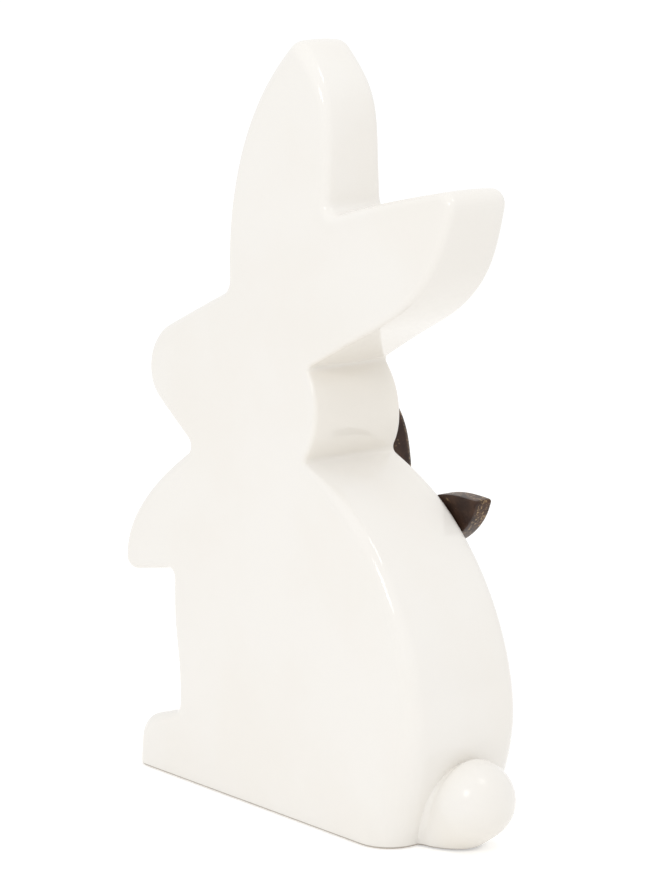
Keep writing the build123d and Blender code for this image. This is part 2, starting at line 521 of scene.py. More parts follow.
class Nodes:
    """A short way to write the nodes of a finish."""

    def __init__(self, tree: bpy.types.NodeTree) -> None:
        """Starts on an empty tree."""
        self.tree = tree
        tree.nodes.clear()

    def feed(self, slot: bpy.types.NodeSocket, source: object) -> None:
        """Joins an input to an output, or sets it to a value.

        Args:
            slot: The input.
            source: The output or the value.
        """
        if isinstance(source, bpy.types.NodeSocket):
            self.tree.links.new(source, slot)
        else:
            slot.default_value = source

    def add(self, kind: str, inputs: dict[str | int, object] | None = None,
            **settings: object) -> bpy.types.Node:
        """Adds a node.

        Args:
            kind: The node's type name.
            inputs: What its inputs get, each a value or an output, by name or number.
            **settings: Settings of the node by name.

        Returns:
            The node.
        """
        node = self.tree.nodes.new(kind)
        for name, value in settings.items():
            setattr(node, name, value)
        for name, source in (inputs or {}).items():
            self.feed(node.inputs[name], source)
        return node

    def noise(self, place: bpy.types.NodeSocket, wave: float, detail: float,
              rough: float = 0.5) -> bpy.types.NodeSocket:
        """Adds a noise.

        Args:
            place: Where it is looked up.
            wave: The length of its waves, in metres.
            detail: How many finer layers it has.
            rough: How strong these are.

        Returns:
            Its value.
        """
        inputs = {"Vector": place, "Scale": 1.0 / wave, "Detail": detail, "Roughness": rough}
        return self.add("ShaderNodeTexNoise", inputs).outputs["Fac"]

    def spread(self, value: bpy.types.NodeSocket, low: object, high: object, to_low: float = 0.0,
               to_high: float = 1.0) -> bpy.types.NodeSocket:
        """Maps a value smoothly from one range to another.

        Args:
            value: The value.
            low: The start of its range.
            high: The end of its range.
            to_low: What the start becomes.
            to_high: What the end becomes.

        Returns:
            The new value.
        """
        inputs = {"Value": value, "From Min": low, "From Max": high, "To Min": to_low, "To Max": to_high}
        return self.add("ShaderNodeMapRange", inputs, interpolation_type="SMOOTHSTEP").outputs["Result"]

    def sum(self, operation: str, first: object, second: object) -> bpy.types.NodeSocket:
        """Adds a sum of two numbers or outputs, held between 0 and 1."""
        inputs = {0: first, 1: second}
        return self.add("ShaderNodeMath", inputs, operation=operation, use_clamp=True).outputs["Value"]

    def blend(self, amount: bpy.types.NodeSocket, first: object, second: object) -> bpy.types.NodeSocket:
        """Mixes two colours, or outputs of colours.

        Args:
            amount: How much of the second there is.
            first: The colour where there is none of it.
            second: The colour where there is nothing else.

        Returns:
            The mixed colour.
        """
        a, b = ((*colour, 1.0) if isinstance(colour, tuple) else colour for colour in (first, second))
        return self.add("ShaderNodeMix", {"Factor": amount, 6: a, 7: b}, data_type="RGBA").outputs[2]


def mottle_group() -> bpy.types.ShaderNodeTree:
    """Builds the drifting tone that glaze, clay, bronze and glue all show.

    Returns:
        A node group with the inputs Wave, Low and High, and the output Amount.
    """
    tree = bpy.data.node_groups.new("drifting_tone", "ShaderNodeTree")
    for name, value in zip(("Wave", "Low", "High"), (0.02, *TONE_LEVELS)):
        tree.interface.new_socket(name, in_out="INPUT", socket_type="NodeSocketFloat").default_value = value
    tree.interface.new_socket("Amount", in_out="OUTPUT", socket_type="NodeSocketFloat")
    nodes = Nodes(tree)
    given = nodes.add("NodeGroupInput")
    place = nodes.add("ShaderNodeTexCoord").outputs["Object"]
    scale = nodes.add("ShaderNodeMath", {0: 1.0, 1: given.outputs["Wave"]}, operation="DIVIDE")
    drift = nodes.add("ShaderNodeTexNoise", {"Vector": place, "Scale": scale.outputs["Value"], "Detail": 4.0})
    amount = nodes.spread(drift.outputs["Fac"], given.outputs["Low"], given.outputs["High"])
    nodes.add("NodeGroupOutput", {"Amount": amount})
    return tree


class Finish:
    """What every finish shares: a material with a Principled surface."""

    def __init__(self, name: str, mottle: bpy.types.ShaderNodeTree) -> None:
        """Starts the material.

        Args:
            name: Its name.
            mottle: The group of the drifting tone.
        """
        self.material = bpy.data.materials.new(name)
        self.material.use_nodes = True
        self.nodes = Nodes(self.material.node_tree)
        self.mottle = mottle
        self.surface = self.nodes.add("ShaderNodeBsdfPrincipled")
        self.nodes.add("ShaderNodeOutputMaterial", {"Surface": self.surface.outputs["BSDF"]})
        self.place = self.nodes.add("ShaderNodeTexCoord").outputs["Object"]

    def tone(self, wave: float, low: float = TONE_LEVELS[0], high: float = TONE_LEVELS[1]
             ) -> bpy.types.NodeSocket:
        """Adds the drifting tone with waves of that length, between those levels."""
        inputs = {"Wave": wave, "Low": low, "High": high}
        return self.nodes.add("ShaderNodeGroup", inputs, node_tree=self.mottle).outputs["Amount"]

    def marked(self, name: str) -> bpy.types.NodeSocket:
        """Reads a value that the mesh stores."""
        return self.nodes.add("ShaderNodeAttribute", attribute_name=name).outputs["Fac"]

    def bump(self, height: bpy.types.NodeSocket, depth: float, onto: bpy.types.NodeSocket | None = None
             ) -> bpy.types.NodeSocket:
        """Raises the surface.

        Args:
            height: What is high, from 0 to 1.
            depth: How high that is, in metres.
            onto: The normal that it adds to.

        Returns:
            The new normal.
        """
        inputs = {"Distance": depth, "Height": height} | ({} if onto is None else {"Normal": onto})
        return self.nodes.add("ShaderNodeBump", inputs).outputs["Normal"]

    def feed(self, **inputs: object) -> bpy.types.Material:
        """Fills the surface's inputs.

        Args:
            **inputs: Values or outputs by the input's name, with _ for each space.

        Returns:
            The material.
        """
        for name, source in inputs.items():
            self.nodes.feed(self.surface.inputs[name.replace("_", " ")], source)
        return self.material


@dataclass(frozen=True)
class Glaze:
    """White tin glaze over a pale body, glassy and a little uneven, with painted shade in its hollows and a
    painted contact shadow along its foot.
    """

    white: Colour = (0.905, 0.880, 0.838)
    warm: Colour = (0.893, 0.862, 0.812)
    # Painted shade: a darker, warmer glaze colour for the shaded neck hollow and the tail's underside
    painted_shade: Colour = (0.884, 0.840, 0.766)
    # Painted contact shadow: a dark colour for the glaze's lowest millimetre, where it meets the table
    foot: Colour = (0.36, 0.32, 0.27)
    painted_contact_shadow_band: tuple[float, float] = (0.0006, 0.0012)
    drift: float = 0.055
    gloss_drift: float = 0.055 / 3
    ripple: float = 0.016
    ripple_depth: float = 0.00010
    peel: float = 0.0016
    peel_depth: float = 0.0000035
    roughness: tuple[float, float] = (0.055, 0.11)
    satin: float = 0.143
    refraction: float = 1.52

    def material(self, mottle: bpy.types.ShaderNodeTree) -> bpy.types.Material:
        """Makes the glaze, which reads from the mesh how much painted shade it carries and how satin it set.

        Args:
            mottle: The group of the drifting tone.

        Returns:
            The material.
        """
        finish = Finish("white_glaze", mottle)
        nodes = finish.nodes
        body = nodes.blend(finish.tone(self.drift), self.white, self.warm)
        # Painted shade, read from the mesh's marks, darkens and warms the glaze
        deep = nodes.blend(finish.marked("painted_shade"), body, self.painted_shade)
        height = nodes.add("ShaderNodeSeparateXYZ", {"Vector": finish.place}).outputs["Z"]
        # Painted contact shadow: the glaze turns dark in its lowest millimetre
        colour = nodes.blend(nodes.spread(height, *self.painted_contact_shadow_band), self.foot, deep)
        ripple = finish.bump(nodes.noise(finish.place, self.ripple, 1.0), self.ripple_depth)
        peel = finish.bump(nodes.noise(finish.place, self.peel, 2.0), self.peel_depth, ripple)
        gloss = nodes.spread(finish.tone(self.gloss_drift), 0.0, 1.0, *self.roughness)
        rough = nodes.sum("ADD", gloss, nodes.sum("MULTIPLY", finish.marked("satin"), self.satin))
        return finish.feed(Base_Color=colour, Roughness=rough, Normal=peel, IOR=self.refraction)


@dataclass(frozen=True)
class Biscuit:
    """The bare fired clay under the foot, wiped clean of glaze."""

    pale: Colour = (0.80, 0.74, 0.66)
    dark: Colour = (0.68, 0.60, 0.51)
    drift: float = 0.0081
    grain: float = 0.0009
    grain_depth: float = 0.00004
    roughness: float = 0.82

    def material(self, mottle: bpy.types.ShaderNodeTree) -> bpy.types.Material:
        """Makes the clay.

        Args:
            mottle: The group of the drifting tone.

        Returns:
            The material.
        """
        finish = Finish("wiped_clay", mottle)
        grit = finish.bump(finish.nodes.noise(finish.place, self.grain, 3.0), self.grain_depth)
        colour = finish.nodes.blend(finish.tone(self.drift), self.pale, self.dark)
        return finish.feed(Base_Color=colour, Roughness=self.roughness, Normal=grit)


@dataclass(frozen=True)
class Bronze:
    """Dark bronze paint, brushed with gold wherever the brush caught."""

    dark: Colour = (0.030, 0.014, 0.009)
    brown: Colour = (0.096, 0.049, 0.028)
    gold: Colour = (0.46, 0.32, 0.17)
    shade: float = 0.006
    stroke: float = 0.0011
    stroke_stretch: tuple[float, float, float] = (0.35, 1.0, 1.0)
    stroke_rough: float = 0.62
    stroke_part: float = 0.62
    stroke_depth: float = 0.00007
    speck: float = 0.0006
    speck_rough: float = 0.7
    speck_part: float = 0.38
    patch: float = 0.009
    patch_levels: tuple[float, float] = (0.54, 0.66)
    patch_part: float = 0.8
    untouched: float = 0.86
    rub_part: float = 0.42
    contrast: float = 6.0
    roughness: tuple[float, float] = (0.42, 0.36)
    metal: tuple[float, float] = (0.25, 0.85)
    specular: float = 0.3

    def material(self, mottle: bpy.types.ShaderNodeTree) -> bpy.types.Material:
        """Makes the bronze, which reads from the mesh where it was rubbed.

        Args:
            mottle: The group of the drifting tone.

        Returns:
            The material.
        """
        finish = Finish("rubbed_bronze", mottle)
        nodes, rub = finish.nodes, finish.marked("rub")
        stretch = nodes.add("ShaderNodeMapping", {"Vector": finish.place, "Scale": self.stroke_stretch})
        strokes = nodes.noise(stretch.outputs["Vector"], self.stroke, 4.0, self.stroke_rough)
        specks = nodes.noise(finish.place, self.speck, 3.0, self.speck_rough)
        coarse = nodes.sum("MULTIPLY", strokes, self.stroke_part)
        fine = nodes.sum("MULTIPLY", specks, self.speck_part)
        patch = nodes.sum("MULTIPLY", finish.tone(self.patch, *self.patch_levels), self.patch_part)
        reach = nodes.sum("MULTIPLY", nodes.sum("MAXIMUM", rub, patch), self.rub_part)
        edge = nodes.sum("SUBTRACT", self.untouched, reach)
        lifted = nodes.sum("SUBTRACT", nodes.sum("ADD", coarse, fine), edge)
        rubbed = nodes.spread(nodes.sum("MULTIPLY", lifted, self.contrast), 0.0, 1.0)
        base = nodes.blend(rub, self.dark, nodes.blend(finish.tone(self.shade), self.dark, self.brown))
        return finish.feed(
            Base_Color=nodes.blend(rubbed, base, self.gold),
            Roughness=nodes.spread(rubbed, 0.0, 1.0, *self.roughness),
            Metallic=nodes.spread(rubbed, 0.0, 1.0, *self.metal),
            Specular_IOR_Level=self.specular,
            Normal=finish.bump(strokes, self.stroke_depth),
        )


@dataclass(frozen=True)
class Glue:
    """Clear glue, set slightly amber."""

    clear: Colour = (0.62, 0.56, 0.45)
    amber: Colour = (0.50, 0.42, 0.30)
    drift: float = 0.004
    wave: float = 0.003
    wave_depth: float = 0.0001
    roughness: float = 0.22

    def material(self, mottle: bpy.types.ShaderNodeTree) -> bpy.types.Material:
        """Makes the glue.

        Args:
            mottle: The group of the drifting tone.

        Returns:
            The material.
        """
        finish = Finish("set_glue", mottle)
        colour = finish.nodes.blend(finish.tone(self.drift), self.clear, self.amber)
        waves = finish.bump(finish.nodes.noise(finish.place, self.wave, 1.0), self.wave_depth)
        return finish.feed(Base_Color=colour, Roughness=self.roughness, Normal=waves)


# Pieces


@dataclass
class RabbitBody:
    """The body, a slab that tapers to the ears, with rounded rims and a wiped foot."""

    reach: float = 182.67
    step: float = 0.7
    cell: float = 4.0
    heel: Spot = (13.3, 0.0)
    rump: Spots = ((4.4, 21.0), (0.0, 46.0), (5.3, 77.0), (18.7, 102.5), (41.7, 126.1))
    shoulder: Spot = (69.2, 140.5)
    neck: Spot = (63.3, 157.8)
    nape: Spot = (70.4, 176.4)
    rear_ear_under: Spots = ((44.8, 189.7), (19.7, 203.7), (4.4, 220.0), (-2.4, 235.5))
    rear_ear_tip: Spot = (-6.9, 251.1)
    rear_ear_top: Spot = (28.0, 244.2)
    fork: Spot = (65.9, 234.5)
    ear_back: Spots = ((65.9, 258.0), (69.0, 280.0), (76.3, 291.6))
    ear_tip: Spot = (86.3, 302.2)
    ear_front: Spot = (119.2, 256.9)
    brow: Spot = (123.0, 201.0)
    nose: Spot = (190.6, 169.6)
    chin: Spot = (139.8, 136.1)
    chest: Spots = ((160.7, 121.0), (174.2, 107.4), (181.6, 92.6))
    paw: Spot = (182.0, 78.5)
    paw_crease: Spot = (149.2, 84.6)
    leg: Spots = ((148.5, 64.0), (145.2, 47.0))
    foot_crease: Spot = (143.4, 28.5)
    toe: Spot = (168.7, 20.2)
    toe_base: Spot = (169.4, 0.0)
    corner_radii: tuple[float, ...] = (0.9, 0.9, 6.0, 4.0, 7.0, 5.0, 18.0, 2.5, 6.0, 3.0, 3.0, 12.0)
    softness: float = 1.3
    thicknesses: tuple[float, ...] = (60.0, 53.0, 45.0, 31.0, 26.4)
    section_step: float = 1.0
    top: float = 302.2
    crown: float = 0.35
    rim_blend: float = 5.0
    rim_turns: int = 9
    wall_cells: int = 6
    foot: float = 1.5
    foot_turns: int = 5
    level_height: float = 12.0
    # How strong the painted shade in the neck hollow is, and how far it reaches on each side
    painted_shade_depth: float = 0.75
    painted_shade_start: float = 1.0
    painted_shade_end: float = 80.0
    vent_place: float = 91.0
    vent_radius: float = 4.0
    vent_depth: float = 5.0
    vent_step: float = 1.0
    bare_share: float = 0.2
    facing_down: float = -0.99
    waver: Waver = Waver(height=0.00022, wave=0.034, fade=0.012, seed=1.7)

    def rim_radii(self) -> tuple[tuple[Spot, float], ...]:
        """Gives how far the rim is rounded.

        Returns:
            Places along the outline in order, each with the rim's radius there.
        """
        rump_low, rump_middle, _, back, back_top = self.rump
        return (
            (self.heel, 14.0), (rump_low, 10.5), (rump_middle, 7.5), (back, 5.0), (back_top, 4.2),
            (self.shoulder, 1.8), (self.neck, 2.6), (self.nape, 1.6), (self.rear_ear_under[1], 3.2),
            (self.rear_ear_tip, 3.6), (self.fork, 4.0), (self.ear_back[1], 4.2), (self.ear_tip, 6.4),
            (self.ear_front, 3.6), (self.brow, 3.6), (self.nose, 4.8), (self.chin, 4.0),
            (self.chest[1], 4.6), (self.paw, 3.8), (self.paw_crease, 3.2), (self.leg[0], 4.4),
            (self.foot_crease, 3.4), (self.toe, 5.0), (self.toe_base, 5.0),
        )

    def outline(self) -> Points:
        """Draws the silhouette from the heel over the ears to the toe, foot rounding left off.

        Returns:
            Evenly spaced points in x and z.
        """
        step = self.step
        runs = [
            spline((self.heel, *self.rump, self.shoulder), step),
            arc(self.shoulder, self.neck, self.nape, step),
            spline((self.nape, *self.rear_ear_under, self.rear_ear_tip), step),
            arc(self.rear_ear_tip, self.rear_ear_top, self.fork, step),
            spline((self.fork, *self.ear_back, self.ear_tip), step),
            arc(self.ear_tip, self.ear_front, self.brow, step),
            line(self.brow, self.nose, step),
            line(self.nose, self.chin, step),
            spline((self.chin, *self.chest, self.paw), step),
            line(self.paw, self.paw_crease, step),
            spline((self.paw_crease, *self.leg, self.foot_crease), step),
            line(self.foot_crease, self.toe, step),
            line(self.toe, self.toe_base, step),
        ]
        whole = soften(chain(runs, self.corner_radii, step), self.softness)
        return evenly(whole[whole[:, 1] >= self.foot], step)

    def half(self, height: np.ndarray) -> np.ndarray:
        """Gives half the slab's thickness.

        Args:
            height: Heights above the table.

        Returns:
            Half the thickness at each height.
        """
        stations = np.linspace(0.0, self.top, len(self.thicknesses))
        halves = np.array(self.thicknesses) / 2
        section = spline(np.stack([stations, halves], axis=1), self.section_step)
        return np.interp(height, section[:, 0], section[:, 1])

    def rims(self, outline: Points) -> np.ndarray:
        """Gives the rim's radius at each point of the outline."""
        places, radii = zip(*((nearest(outline, place), radius) for place, radius in self.rim_radii()))
        return soften(np.interp(np.arange(len(outline)), places, radii), self.rim_blend / self.step)

    def back_wall(self, across: np.ndarray, height: np.ndarray) -> np.ndarray:
        """Gives how far forward the back's surface lies.

        Args:
            across: Places across the back.
            height: Their heights above the table.

        Returns:
            How far forward the surface lies at each place.
        """
        outline = self.outline()
        rims = self.rims(outline)
        back = slice(0, nearest(outline, self.shoulder))
        wall = np.interp(height, outline[back, 1], outline[back, 0]) + self.crown
        rim = np.interp(height, outline[back, 1], rims[back])
        past = np.clip(np.abs(across) - (self.half(height) - rim), 0.0, rim)
        return wall + rim - np.sqrt(rim**2 - past**2)

    def painted_shade(self, outline: Points) -> np.ndarray:
        """Gives the painted shade in the hollow of the neck, where the glaze is coloured darker and warmer
        because shade falls there.

        Args:
            outline: The body's outline.

        Returns:
            The amount of painted shade at each point, from 0 to 1.
        """
        low, high = nearest(outline, self.shoulder), nearest(outline, self.nape)
        number = np.arange(len(outline))
        before = np.clip(1.0 - (low - number) * self.step / self.painted_shade_start, 0.0, 1.0)
        after = np.clip(1.0 - (number - high) * self.step / self.painted_shade_end, 0.0, 1.0)
        return self.painted_shade_depth * before * after

    def inward(self, outline: Points) -> Points:
        """Gives the way in from the outline, level where it meets the table.

        Args:
            outline: The body's outline.

        Returns:
            A unit vector for each point.
        """
        ways = -side_of(outline)
        level = np.clip((outline[:, 1] - self.foot) / self.level_height, 0.0, 1.0)
        ways[:, 1] *= level * level * (3 - 2 * level)
        return ways / np.linalg.norm(ways, axis=1, keepdims=True)

    def mesh(self) -> tuple[Shape, np.ndarray]:
        """Builds the body.

        Returns:
            Its shape, and how much painted shade the glaze carries at each point.
        """
        outline = self.outline()
        rims, ways, shade_amount = self.rims(outline), self.inward(outline), self.painted_shade(outline)
        angles = np.linspace(math.pi / 2, 0.0, self.rim_turns)
        stations = [(angle, 1.0) for angle in angles]
        stations += [(0.0, share) for share in np.linspace(1.0, -1.0, self.wall_cells + 1)[1:-1]]
        stations += [(angle, -1.0) for angle in angles[::-1]]
        columns, shade_columns = [], []
        for angle, share in stations:
            inset = rims * (1 - math.cos(angle)) + self.crown * share**2
            drawn = outline + ways * inset[:, None]
            across = share * (self.half(drawn[:, 1]) - rims * (1 - math.sin(angle)))
            columns.append(upright(drawn, across))
            # The painted shade is strongest on the wall of the neck hollow, where shade falls
            shade_columns.append(shade_amount * math.cos(angle) ** 2)
        net = np.stack(columns, axis=1)
        count, wide = net.shape[:2]
        grid = np.arange(count * wide).reshape(count, wide).tolist()
        shape = Shape(net.reshape(-1, 3), [
            (a[j], b[j], b[j + 1], a[j + 1]) for a, b in zip(grid, grid[1:]) for j in range(wide - 1)
        ])
        rim = net[:, 0][:, (0, 2)]
        sill = line(rim[-1], rim[0], self.cell)[1:-1]
        face, triangles = filled(np.concatenate([rim, sill]), self.cell)
        fresh = face[count:]
        sills = []
        for column, side in ((0, 1.0), (-1, -1.0)):
            numbers = shape.put(upright(fresh, side * self.half(fresh[:, 1])))
            shape.patch(triangles, [row[column] for row in grid] + numbers)
            sills.append(numbers[:len(sill)])
        self.close_foot(shape, grid[0] + sills[1][::-1] + grid[-1][::-1] + sills[0])
        painted_shade = np.stack(shade_columns, axis=1).reshape(-1)
        return shape, np.concatenate([painted_shade, np.zeros(len(shape.places) - len(painted_shade))])

    def close_foot(self, shape: Shape, loop: list[int]) -> None:
        """Rounds the foot and closes it, apart from the vent.

        Args:
            shape: The body, open at its foot.
            loop: The points round the open foot, in order.
        """
        plan = shape.places[loop][:, :2]
        ways = side_of(plan, closed=True)
        ways *= math.copysign(1.0, float(np.sum((plan.mean(0) - plan) * ways)))
        edge = loop
        for angle in np.linspace(0.0, math.pi / 2, self.foot_turns)[1:]:
            flat = plan + ways * self.foot * (1 - math.cos(angle))
            below = shape.put(at_height(flat, self.foot * (1 - math.sin(angle))))
            shape.band(edge, below)
            edge = below
        centre = np.array([self.vent_place, 0.0])
        vent = arc_about(centre, centre + (self.vent_radius, 0.0), math.tau, self.vent_step)[:-1]
        base, triangles = filled(shape.places[edge][:, :2], self.cell, vent)
        fresh = shape.put(at_height(base[len(edge):], 0.0))
        shape.patch(triangles, edge + fresh)
        inner = shape.put(at_height(vent, self.vent_depth))
        shape.band(fresh[:len(vent)], inner)
        shape.faces.append(tuple(inner))

    def build(self, frame: Place, glaze: bpy.types.Material, clay: bpy.types.Material) -> None:
        """Makes the body and dresses it.

        Args:
            frame: Where the drawing lies.
            glaze: Its finish.
            clay: The bare finish under its foot.
        """
        shape, painted_shade = self.mesh()
        piece = mesh_object("glazed_body", frame.metres(shape.places), shape.faces)
        # Painted shade on the wall of the neck hollow
        mark(piece, "painted_shade", painted_shade)
        mark(piece, "satin", np.zeros(len(painted_shade)))
        self.waver.apply(piece)
        hand_in(piece, "rabbit_body", "glaze", glaze, clay)
        bare, ceiling = self.foot * self.bare_share * MM, self.vent_depth * MM
        for face in piece.data.polygons:
            if face.center.z < bare or (face.center.z < ceiling and face.normal.z < self.facing_down):
                face.material_index = 1


@dataclass
class Tail:
    """The tail, an egg that lies against the rump with its small end down."""

    radius: float = 15.8
    overhang: float = 3.5
    height: float = 19.2
    root_radius: float = 12.5
    root_inset: float = 11.0
    root_height: float = 5.0
    rings: int = 96
    turns: int = 120
    step: float = 0.3
    seat: float = 0.28
    meniscus: float = 2.9
    fullness: float = 0.05
    sunk: float = 0.85
    foot: float = 1.2
    waver: Waver = Waver(height=0.00016, wave=0.014, fade=0.006, seed=5.3)

    def profile(self, length: float) -> Points:
        """Draws half the egg's outline.

        Args:
            length: How far apart the middles of its two ends are.

        Returns:
            How far along the egg and how far out from its middle each point lies.
        """
        lean = math.asin((self.radius - self.root_radius) / length)
        ends = (
            (0.0, self.radius, np.linspace(-math.pi / 2, lean, self.rings // 2)),
            (length, self.root_radius, np.linspace(lean, math.pi / 2, self.rings // 4)),
        )
        big, small = (
            np.stack([middle + radius * np.sin(angles), radius * np.cos(angles)], axis=1)
            for middle, radius, angles in ends
        )
        return np.concatenate([big, line(big[-1], small[0], self.step)[1:-1], small])

    def egg(self) -> Shape:
        """Turns the egg about the line from its crown to its root.

        Returns:
            Its shape.
        """
        crown = np.array([-self.overhang, 0.0, self.height])
        root = np.array([self.root_inset, 0.0, self.root_height])
        length = float(np.linalg.norm(root - crown))
        along = (root - crown) / length
        across = np.array([along[2], 0.0, -along[0]])
        level = np.array([0.0, 1.0, 0.0])
        turns = np.linspace(0.0, math.tau, self.turns, endpoint=False)[:, None]
        arms = np.cos(turns) * across + np.sin(turns) * level
        profile = self.profile(length)
        rows = [crown + along * reach + radius * arms for reach, radius in profile[1:-1]]
        shape = Shape(np.concatenate(rows), [])
        rings = np.arange(len(shape.places)).reshape(-1, self.turns).tolist()
        for first, second in zip(rings, rings[1:]):
            shape.band(first, second)
        poles = shape.put(crown + along * profile[[0, -1], :1])
        for pole, ring in zip(poles, (rings[0], rings[-1])):
            shape.faces += [(pole, ring[i - 1], ring[i]) for i in range(len(ring))]
        return shape

    def seated(self, places: Points, body: RabbitBody) -> Points:
        """Presses the egg flat on the table and to the wall of the body.

        Args:
            places: The egg's points.
            body: The body, whose wall it meets.

        Returns:
            The points, none of them under the table or deep in the body.
        """
        low = 0.5 * (places[:, 2] + np.sqrt(places[:, 2] ** 2 + self.foot**2))
        places[:, 2] = low - low.min()
        behind = np.clip((places[:, 0] + self.overhang) / self.root_inset, 0.0, 1.0) ** 2
        places[:, 1] *= 1.0 + self.fullness * behind
        places[:, 2] -= np.maximum(places[:, 2] - self.height, 0.0) * self.sunk * behind
        wall = body.back_wall(places[:, 1], places[:, 2]) + self.seat
        flare = np.clip(1 - (wall - places[:, 0]) / self.meniscus, 0.0, 1.0)
        places[:, 0] = np.minimum(places[:, 0], wall)
        out = places - np.array([0.0, 0.0, self.height])
        out[:, 0] = 0.0
        out /= np.maximum(np.linalg.norm(out, axis=1, keepdims=True), 1e-6)
        out[:, 2] *= np.clip(places[:, 2] / self.radius, 0.0, 1.0)
        places = places + out * (self.meniscus * flare**2)[:, None]
        moved = body.back_wall(places[:, 1], places[:, 2]) + self.seat - wall
        places[:, 0] += moved * flare
        return places

    def build(self, frame: Place, body: RabbitBody, glaze: bpy.types.Material) -> None:
        """Makes the tail and dresses it.

        Args:
            frame: Where the drawing lies.
            body: The body that it is luted to.
            glaze: Its finish.
        """
        shape = self.egg()
        places = self.seated(shape.places, body)
        piece = mesh_object("glazed_tail", frame.metres(places), shape.faces)
        # Painted shade on the tail's rear underside, darker toward the table and away from the wall
        under = np.clip(1.0 - places[:, 2] / self.height, 0.0, 1.0)
        clear = np.clip(1.0 - (places[:, 0] + self.overhang) / self.root_inset, 0.0, 1.0)
        mark(piece, "painted_shade", under * clear)
        mark(piece, "satin", np.ones(len(places)))
        self.waver.apply(piece)
        hand_in(piece, "tail", "glaze", glaze)


@dataclass(frozen=True)
class Fold:
    """A fold pressed along a line, deepest near its start and gone at its end, in millimetres."""

    start: Points
    end: Points
    width: float
    depth: float
    onset: float = 6.0
    least_width: float = 0.35

    def press(self, places: Points) -> np.ndarray:
        """Gives how deep the fold is.

        Args:
            places: Where to look.

        Returns:
            The depth at each place.
        """
        run = self.end - self.start
        along = (places - self.start) @ run / (run @ run)
        on_line = self.start + np.clip(along, 0.0, 1.0)[:, None] * run
        off = np.linalg.norm(places - on_line, axis=1)
        fade = np.clip(1.0 - along, 0.0, 1.0) * np.clip(1.0 + self.onset * along, 0.0, 1.0)
        width = self.width * (self.least_width + (1.0 - self.least_width) * fade)
        return self.depth * fade * np.exp(-0.5 * (off / width) ** 2)


